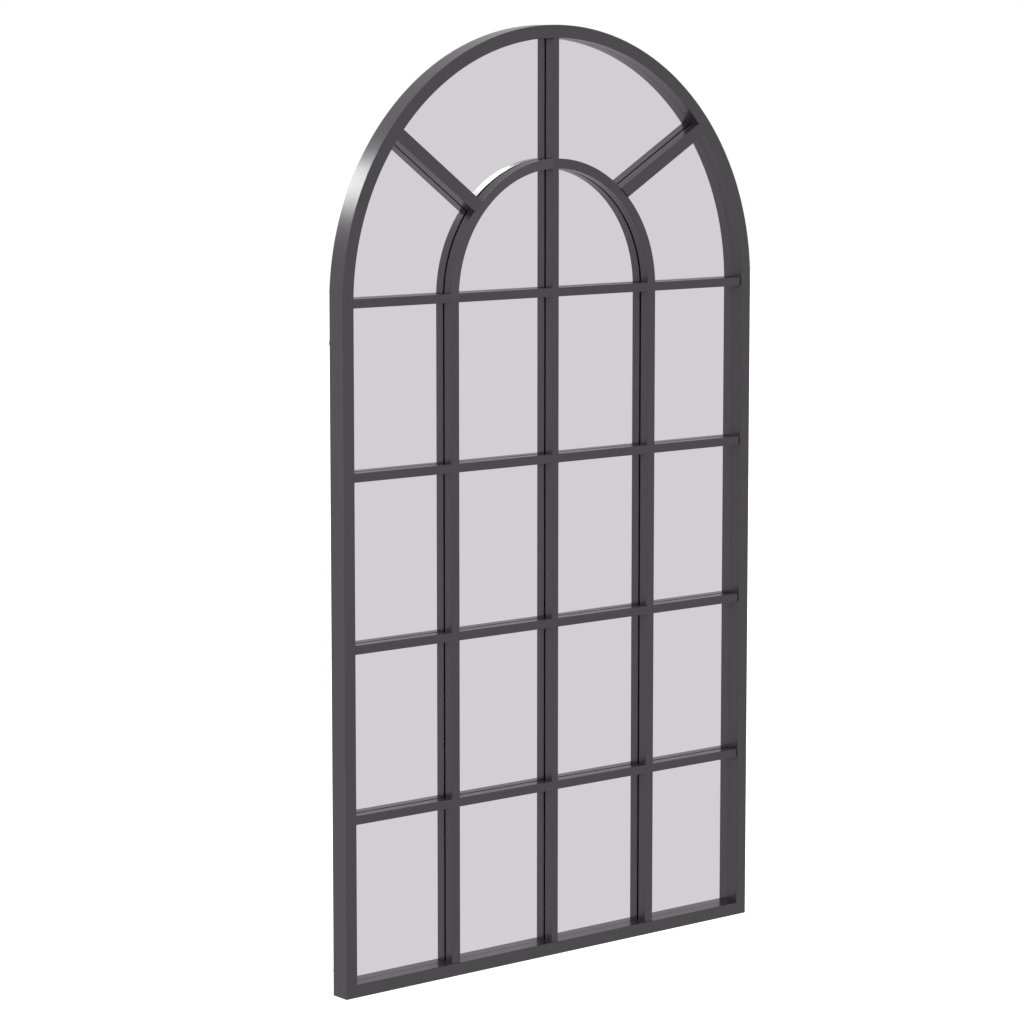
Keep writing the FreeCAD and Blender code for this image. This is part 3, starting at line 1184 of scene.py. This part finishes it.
@dataclass
class Sheets(SubAssembly):
    """The mirror and the board behind it, which fill the frame."""

    body: str = "frame"
    glass_clearance: float = 0.0001
    glass_chamfer: float = 0.0001
    board_clearance: float = 0.0015
    board_chamfer: float = 0.0002
    arc_steps: int = 128

    def outline(self, clearance: float, y: float) -> list[Vector]:
        """The frame's opening, less a clearance all round.

        Args:
            clearance: how far it stays inside.
            y: its depth.

        Returns:
            The corners and the points of the arch.
        """
        plan = self.plan
        half, bottom = plan.inner_radius - clearance, plan.frame_face + clearance
        turns = [math.pi * step / self.arc_steps for step in range(self.arc_steps + 1)]
        places = [plan.on_arch(half, turn) for turn in turns]
        places += [(-half, bottom), (half, bottom)]
        return [Vector((x, y, z)) for x, z in places]

    def sheet(
        self, name: str, clearance: float, chamfer: float, front: float, back: float
    ) -> bpy.types.Object:
        """A flat sheet with a small chamfer round both faces.

        Args:
            name: of the piece.
            clearance: between its edge and the frame.
            chamfer: how wide the chamfers are.
            front: y of its front.
            back: y of its back.

        Returns:
            The piece.
        """
        depths = [
            (clearance + chamfer, front), (clearance, front + chamfer),
            (clearance, back - chamfer), (clearance + chamfer, back),
        ]
        return new_piece(name, stacked(name, [self.outline(inset, y) for inset, y in depths]))

    def build(self) -> None:
        """Makes both sheets."""
        plan = self.plan
        mirror = self.sheet(
            "mirror_sheet", self.glass_clearance, self.glass_chamfer,
            plan.mirror_front, plan.glass_back,
        )
        board = self.sheet(
            "back_board", self.board_clearance, self.board_chamfer,
            plan.glass_back, plan.board_back,
        )
        for piece, finish, node in (
            (mirror, SILVERED_GLASS, "mirror_glass"), (board, HARDBOARD, "backing_board"),
        ):
            piece.data.materials.append(self.wardrobe[finish])
            self.hand_over(piece, self.body, finish, [node])


@dataclass
class BackFittings(SubAssembly):
    """Clips, screws and wall bumpers: each drawn once and spread by its places."""

    body: str = "frame"
    clips_per_stile: int = 4
    clips_on_rail: int = 2
    clips_on_arch: int = 5
    clip_sheet: float = 0.0012
    clip_width: float = 0.016
    clip_tab: float = 0.017
    clip_foot: float = 0.013
    clip_gap: float = 0.0005
    clip_bend: float = 0.0014               # on the middle of the sheet
    clip_edge: float = 0.00015
    clip_edge_steps: int = 2
    bend_steps: int = 6
    strap_length: float = 0.038
    strap_sheet: float = 0.001
    strap_screw_first: float = 0.019
    strap_screw_pitch: float = 0.012
    strap_screw_turns: tuple[float, float] = (0.4, 1.1)     # where the driver left the recess
    clip_screw_turn: float = 3.0            # for each turn of its clip
    screw_radius: float = 0.0016
    screw_tip: float = 0.0002
    screw_length: float = 0.009
    screw_point: float = 0.0025
    head_radius: float = 0.0032
    head_height: float = 0.0019
    head_rim: float = 0.0007
    head_steps: int = 5
    recess_width: float = 0.0009
    recess_span: float = 0.0036
    recess_depth: float = 0.0011
    screw_sides: int = 28
    bumper_radius: float = 0.007
    bumper_edge: float = 0.001
    bumper_dish: float = 0.0005
    bumper_from_bottom: float = 0.040
    bumper_arch_angle: float = math.radians(60)
    bumper_sides: int = 40

    def clip_places(self) -> list[TurnedPlace]:
        """Spaces the clips along the frame's inner edge.

        Returns:
            Each clip's turn, x and z.
        """
        plan = self.plan
        places = []
        lowest, highest = plan.frame_face, plan.pivot_height - self.strap_length
        for number in range(self.clips_per_stile):
            height = lowest + (highest - lowest) * (number + 0.5) / self.clips_per_stile
            for side in Side:
                turn = -math.pi / 2 * side.value
                places.append((turn, side.value * plan.inner_radius, height))
        for number in range(self.clips_on_rail):
            share = 2 * (number + 0.5) / self.clips_on_rail - 1
            places.append((0.0, plan.inner_radius * share, plan.frame_face))
        for number in range(self.clips_on_arch):
            angle = math.pi * (number + 0.5) / self.clips_on_arch
            places.append((-math.pi / 2 - angle, *plan.on_arch(plan.inner_radius, angle)))
        return places

    def clip_screw_places(self) -> list[TurnedPlace]:
        """Puts each clip's screw in the middle of the frame's face, turned its own way.

        Returns:
            Each screw's turn, x and z.
        """
        reach = self.plan.frame_face / 2
        return [
            (
                self.clip_screw_turn * turn + x,
                x - math.sin(turn) * reach, z - math.cos(turn) * reach,
            )
            for turn, x, z in self.clip_places()
        ]

    def strap_screw_places(self, side: Side) -> list[TurnedPlace]:
        """The two screws of a hanger strap, one above the other.

        Args:
            side: of the window.

        Returns:
            Each screw's turn, x and z.
        """
        first = self.plan.pivot_height - self.strap_screw_first
        x = side.value * self.plan.frame_radius
        upper, lower = self.strap_screw_turns
        return [(upper * side.value, x, first), (lower, x, first - self.strap_screw_pitch)]

    def bumper_places(self) -> list[TurnedPlace]:
        """One low on each stile and one on each side of the arch.

        Returns:
            Each bumper's turn, x and z.
        """
        plan = self.plan
        arch_x, arch_z = plan.on_arch(plan.frame_radius, self.bumper_arch_angle)
        low, high = (plan.frame_radius, self.bumper_from_bottom), (arch_x, arch_z)
        return [(0.0, side.value * x, z) for x, z in (low, high) for side in Side]

    def clip_item(self) -> bpy.types.Object:
        """Stepped clip at x = 0, swept flat and then turned to reach up over the board.

        Returns:
            The clip, from its tab on the frame to its foot on the board.
        """
        plan, half, bend = self.plan, self.clip_sheet / 2, self.clip_bend
        on_frame, on_board = plan.frame_back + half, plan.board_back + half
        step = self.clip_gap + half
        outer = quarter((-on_frame + bend, step - bend), bend, 90, self.bend_steps)[::-1]
        inner = quarter((-on_board - bend, step + bend), bend, 270, self.bend_steps)
        foot = (-on_board, self.clip_gap + self.clip_foot)
        line = [(-on_frame, -self.clip_tab), *outer, *inner, foot]
        section = Section(
            self.clip_sheet, -self.clip_width / 2, self.clip_width / 2, self.clip_edge,
            self.clip_edge_steps,
        )
        clip = self.sweep.carry("clip_item", [line], section, self.wardrobe[ZINC_PLATE])
        clip.data.transform(Matrix.Rotation(-math.pi / 2, 4, "Z"))
        flatten_shading(clip)
        return clip

    def screw_item(self, seat: float) -> bpy.types.Object:
        """Pan head screw along -Y whose head sits on the plane y = seat.

        Args:
            seat: y of the sheet under the head.

        Returns:
            The screw, with a cross recess cut in its head.
        """
        rise = self.head_height - self.head_rim
        dome = (self.head_radius**2 + rise**2) / (2 * rise)
        widest = math.asin(self.head_radius / dome)
        crown = seat + self.head_height
        profile = [
            (self.screw_tip, seat - self.screw_length),
            (self.screw_radius, seat - self.screw_length + self.screw_point),
            (self.screw_radius, seat), (self.head_radius, seat),
        ]
        for step in range(self.head_steps):
            turn = widest * (1 - step / self.head_steps)
            profile.append((dome * math.sin(turn), crown - dome * (1 - math.cos(turn))))
        screw = new_piece("screw_item", turned("screw_item", profile, self.screw_sides))
        wide, narrow = self.recess_span / 2, self.recess_width / 2
        arm = [(wide, -narrow), (wide, narrow), (narrow, narrow)]
        cross = [
            Vector((x * c - z * s, 0.0, x * s + z * c))
            for c, s in ((1, 0), (0, 1), (-1, 0), (0, -1)) for x, z in arm
        ]
        floor = Vector((0.0, crown - self.recess_depth, 0.0))
        above = Vector((0.0, crown + self.recess_depth, 0.0))
        rings = [[point + level for point in cross] for level in (floor, above)]
        recess = new_piece("recess_item", stacked("recess_item", rings))
        cut = screw.modifiers.new("cross recess", "BOOLEAN")
        cut.operation, cut.solver, cut.object = "DIFFERENCE", "EXACT", recess
        settle(screw)
        bpy.data.objects.remove(recess)
        return screw

    def bumper_item(self) -> bpy.types.Object:
        """Round rubber foot with a rounded rim and a shallow dish in its face.

        Returns:
            The foot, from the frame to the wall.
        """
        radius, edge = self.bumper_radius, self.bumper_edge
        rim = quarter((radius - edge, -edge), edge, 0, self.bend_steps)
        profile = [(radius, self.plan.frame_back), *rim, (radius / 2, 0.0)]
        profile.append((radius / 2 - self.bumper_dish, -self.bumper_dish))
        return new_piece("bumper_item", turned("bumper_item", profile, self.bumper_sides))

    def build(self) -> None:
        """Draws each item once, spreads it and puts it away."""
        plan = self.plan
        clip_seat = plan.frame_back + self.clip_sheet
        strap_seat = plan.frame_back + self.strap_sheet
        sets = [
            ("clip_set", self.clip_item(), self.clip_places(), ZINC_PLATE, "back_clips"),
            (
                "clip_screw_set", self.screw_item(clip_seat), self.clip_screw_places(),
                ZINC_PLATE, "back_clip_screws",
            ),
            ("bumper_set", self.bumper_item(), self.bumper_places(), BUMPER_RUBBER, "wall_bumpers"),
        ]
        for side in Side:
            sets.append((
                "strap_screw_set_" + side.word, self.screw_item(strap_seat),
                self.strap_screw_places(side), ZINC_PLATE, "hanger_screws_" + side.word,
            ))
        for name, item, places, finish, node in sets:
            piece = self.scatter.spread(name, places, item, self.wardrobe[finish])
            bpy.data.objects.remove(item)
            self.hand_over(piece, self.body, finish, [node])


@dataclass
class Hangers(SubAssembly):
    """The swinging wire rings, and the straps that stay as the CAD has them."""

    wire_radius: float = 0.0012
    half_width: float = 0.0085
    bend: float = 0.0025
    straight: float = 0.0025
    pivot_y: float = -0.0037
    arc_steps: int = 7

    def ring_line(self, side: Side) -> list[Place]:
        """The D that the wire's middle line makes, hanging down from its straight top.

        Args:
            side: of the window.

        Returns:
            The line's points.
        """
        half, bend, steps = self.half_width, self.bend, self.arc_steps
        top = self.plan.pivot_height
        knee = top - bend - self.straight
        line = quarter((half - bend, top - bend), bend, 0, steps)
        line += quarter((bend - half, top - bend), bend, 90, steps)
        line += quarter((0.0, knee), half, 180, 2 * steps)
        line += quarter((0.0, knee), half, 270, 2 * steps)[1:]
        middle = side.value * self.plan.frame_radius
        return [(middle + x, z) for x, z in line]

    def build(self) -> None:
        """Bends both rings and dresses both straps."""
        radius = self.wire_radius
        wire = Section(2 * radius, self.pivot_y - radius, self.pivot_y + radius, radius)
        for side in Side:
            ring = self.sweep.carry(
                "wire_ring_" + side.word, [self.ring_line(side)], wire,
                self.wardrobe[NICKEL_WIRE], closed=True,
            )
            self.hand_over(ring, "ring_" + side.word, NICKEL_WIRE, ["hanger_ring_" + side.word])
            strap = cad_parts["hanger_strap_" + side.word]
            strap.data.materials.clear()
            strap.data.materials.append(self.wardrobe[ZINC_PLATE])
            LOG.info("%s: kept, in %s", strap.name, ZINC_PLATE.name)


# ---- studio -------------------------------------------------------------------------
@dataclass(frozen=True)
class Softbox:
    """A square lamp that faces a point of the object."""

    name: str
    place: tuple[float, float, float]
    target: tuple[float, float, float]
    side: float
    watts: float
    seen_in_gloss: bool
    only_on: str = ""                       # the one piece that it lights, if not all


@dataclass
class Studio:
    """Camera, lamps, white room and pale floor."""

    lens: float = 118.323
    sensor: float = 36.0
    camera_place: tuple[float, float, float] = (-3.66561, -4.40384, 1.55340)
    yaw: float = math.radians(39.293)
    pitch: float = math.radians(6.743)
    shift: float = -0.06
    floor_height: float = -0.6
    floor_reach: float = 20.0
    floor_colour: Colour = (0.80, 0.80, 0.80)
    floor_lift: float = 0.30
    floor_clear: tuple[float, float] = (1.2, 3.0)   # from the middle, where its shadows fade
    tint: Colour = (1.0, 0.967, 1.0)        # of the room where the gloss looks
    seen_in_front: float = 0.665
    seen_at_left: float = 0.66              # behind the object, where its left side looks
    left_to_right: tuple[float, float] = (-0.6, 0.1)
    seen_overhead: float = 0.75
    overhead_from: float = 0.22             # sine of the elevation where the room darkens
    overhead_to: float = 0.50
    daylight_front: float = 0.80
    daylight_behind: float = 0.50
    horizon_blur: float = 0.12
    softboxes: tuple[Softbox, ...] = (
        Softbox(
            "key", place=(-3.4, -2.25, 2.8), target=(0.0, 0.0, 0.9), side=2.0, watts=100.0,
            seen_in_gloss=False,
        ),
        Softbox(
            "left_rim", place=(-2.06, 3.20, 3.08), target=(-0.41, 0.0, 1.33), side=0.9,
            watts=33.0, seen_in_gloss=True,
        ),
        Softbox(
            "arch_glint", place=(0.60, -2.64, 3.22), target=(-0.11, 0.0, 1.35), side=1.6,
            watts=62.0, seen_in_gloss=True, only_on="inner_arch_left_tube",
        ),
    )

    def build(self) -> None:
        """Sets up everything that isn't part of the object."""
        bpy.context.scene.view_settings.view_transform = "Standard"
        self.place_camera()
        self.light_room()
        self.lay_floor()
        for softbox in self.softboxes:
            self.hang(softbox)

    def place_camera(self) -> None:
        """Stands where the photograph was taken from."""
        data = bpy.data.cameras.new("photo_camera")
        data.lens, data.sensor_width, data.shift_y = self.lens, self.sensor, self.shift
        camera = bpy.data.objects.new("photo_camera", data)
        camera.location = self.camera_place
        camera.rotation_euler = (math.pi / 2 - self.pitch, 0.0, -self.yaw)
        bpy.context.scene.collection.objects.link(camera)
        bpy.context.scene.camera = camera

    def light_room(self) -> None:
        """White to the camera, with a room of soft light for everything else.

        Gloss sees white behind the object, duller to the left and overhead, and pale grey in
        front of it. The light itself is stronger in front than behind.
        """
        world = bpy.data.worlds.new("white_room")
        bpy.context.scene.world = world
        world.use_nodes = True
        world.node_tree.nodes.clear()
        add = Wiring(world.node_tree).add
        heading = add("ShaderNodeTexCoord").outputs["Generated"]
        way = add("ShaderNodeSeparateXYZ", {"Vector": heading}).outputs
        behind = self.fade(add, way["Y"], -self.horizon_blur, self.horizon_blur)
        above = self.fade(add, way["Z"], self.overhead_from, self.overhead_to)
        white = (1.0, 1.0, 1.0, 1.0)
        front, at_left, dim = (
            (*(level * share for share in self.tint), 1.0)
            for level in (self.seen_in_front, self.seen_at_left, self.seen_overhead)
        )
        backdrop = self.mix(add, self.fade(add, way["X"], *self.left_to_right), at_left, white)
        backdrop = self.mix(add, above, backdrop, dim)
        gloss = self.mix(add, behind, front, backdrop)
        rays = add("ShaderNodeLightPath").outputs
        shiny = add(
            "ShaderNodeMath", {0: rays["Is Glossy Ray"], 1: rays["Is Transmission Ray"]},
            operation="MAXIMUM",
        )
        levels = [(*[level] * 3, 1.0) for level in (self.daylight_front, self.daylight_behind)]
        light = self.mix(add, behind, *levels)
        seen = self.mix(add, shiny.outputs[0], light, gloss)
        seen = self.mix(add, rays["Is Camera Ray"], seen, white)
        sky = add("ShaderNodeBackground", {"Color": seen, "Strength": 1.0})
        add("ShaderNodeOutputWorld", {"Surface": sky.outputs["Background"]})

    def fade(self, add: AddNode, value: Socket, start: float, end: float) -> Socket:
        """Share that rises smoothly from 0 to 1.

        Args:
            add: makes a node of the tree.
            value: what it follows.
            start: value at which it is 0.
            end: value at which it is 1.

        Returns:
            The share's socket.
        """
        limits = {"Value": value, "From Min": start, "From Max": end}
        node = add("ShaderNodeMapRange", limits, interpolation_type="SMOOTHSTEP")
        return node.outputs["Result"]

    def mix(
        self, add: AddNode, share: Socket, first: Socket | tuple, second: Socket | tuple
    ) -> Socket:
        """Mixes two colours.

        Args:
            add: makes a node of the tree.
            share: of the second colour.
            first: colour, as a value or a socket.
            second: colour, as a value or a socket.

        Returns:
            The colour's socket.
        """
        inputs = {"Factor": share, "A": first, "B": second}
        return add("ShaderNodeMix", inputs, data_type="RGBA").outputs["Result"]

    def lay_floor(self) -> None:
        """Pale floor below the mirror, lifted to white for the camera but for its shadows."""
        reach, height = self.floor_reach, self.floor_height
        mesh = bpy.data.meshes.new("studio_floor")
        corners = [(x * reach, y * reach, height) for x, y in ((-1, -1), (1, -1), (1, 1), (-1, 1))]
        mesh.from_pydata(corners, [], [(0, 1, 2, 3)])
        floor = new_piece("studio_floor", mesh)
        material = bpy.data.materials.new("pale_floor")
        material.use_nodes = True
        material.node_tree.nodes.clear()
        add = Wiring(material.node_tree).add
        pale = add("ShaderNodeBsdfDiffuse", {"Color": (*self.floor_colour, 1.0)})
        place = add("ShaderNodeTexCoord").outputs["Object"]
        away = add("ShaderNodeVectorMath", {0: place}, operation="LENGTH").outputs["Value"]
        nearest, farthest = self.floor_clear
        clear = add("ShaderNodeMapRange", {
            "Value": away, "From Min": nearest, "From Max": farthest, "To Min": self.floor_lift,
            "To Max": 1.0,
        }, interpolation_type="SMOOTHSTEP")
        camera = add("ShaderNodeLightPath").outputs["Is Camera Ray"]
        lift = add(
            "ShaderNodeMath", {0: camera, 1: clear.outputs["Result"]}, operation="MULTIPLY"
        )
        glow = add("ShaderNodeEmission", {"Strength": lift.outputs[0]})
        both = add("ShaderNodeAddShader", {0: pale.outputs["BSDF"], 1: glow.outputs["Emission"]})
        add("ShaderNodeOutputMaterial", {"Surface": both.outputs["Shader"]})
        mesh.materials.append(material)
        floor.visible_glossy = False

    def hang(self, softbox: Softbox) -> None:
        """Hangs one lamp, turned to its target.

        Args:
            softbox: its place, its size and what it lights.
        """
        data = bpy.data.lights.new(softbox.name, "AREA")
        data.shape, data.size, data.energy = "SQUARE", softbox.side, softbox.watts
        lamp = bpy.data.objects.new(softbox.name, data)
        lamp.location = softbox.place
        towards = Vector(softbox.target) - Vector(softbox.place)
        lamp.rotation_euler = towards.to_track_quat("-Z", "Y").to_euler()
        lamp.visible_glossy = softbox.seen_in_gloss
        lamp.visible_camera = False
        if softbox.only_on:
            lit = bpy.data.collections.new(softbox.name + "_receivers")
            lit.objects.link(bpy.data.objects[softbox.only_on])
            lamp.light_linking.receiver_collection = lit
        bpy.context.scene.collection.objects.link(lamp)


def main() -> None:
    """Builds the sub-assemblies in order, then the studio round them."""
    logging.basicConfig(level=logging.INFO, format="%(name)s %(message)s")
    tools = (WindowPlan(), Wardrobe(), SectionSweep(), Scatter())
    for kind in (OuterFrame, GlazingBars, Sheets, BackFittings, Hangers):
        LOG.info("-- %s", kind.__name__)
        kind(*tools).build()
    Studio().build()


if __name__ == "__main__":
    main()
